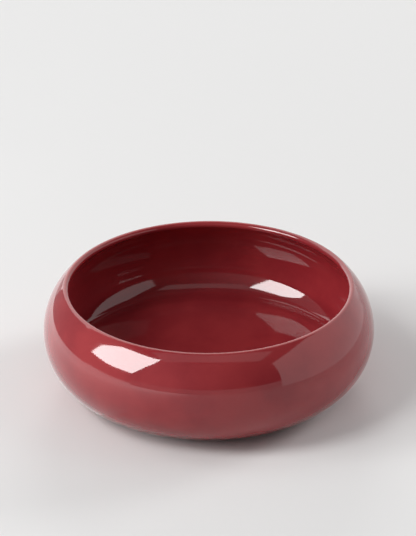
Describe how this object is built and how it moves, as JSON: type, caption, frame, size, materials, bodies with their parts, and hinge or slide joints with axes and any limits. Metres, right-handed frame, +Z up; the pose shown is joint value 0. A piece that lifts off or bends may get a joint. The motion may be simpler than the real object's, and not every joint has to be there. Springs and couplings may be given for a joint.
{
  "type": "table bowl",
  "caption": "Low, wide glazed ceramic table bowl with a full round belly, an in-turned mouth, a rounded lip and a bare foot ring.",
  "frame": {"origin": "centre of the plane that the foot ring stands on", "axes": "+Z up along the bowl's axis of revolution; +X and +Y are arbitrary because the bowl is round"},
  "size_m": [0.3, 0.3, 0.1],
  "materials": {
    "bare_clay": "matte, fired and unglazed",
    "glaze": "high gloss"
  },
  "bodies": {
    "root": {"clay_body": "bare_clay", "inside_glaze": "glaze", "outside_glaze": "glaze", "underside_glaze": "glaze"}
  },
  "joints": []
}
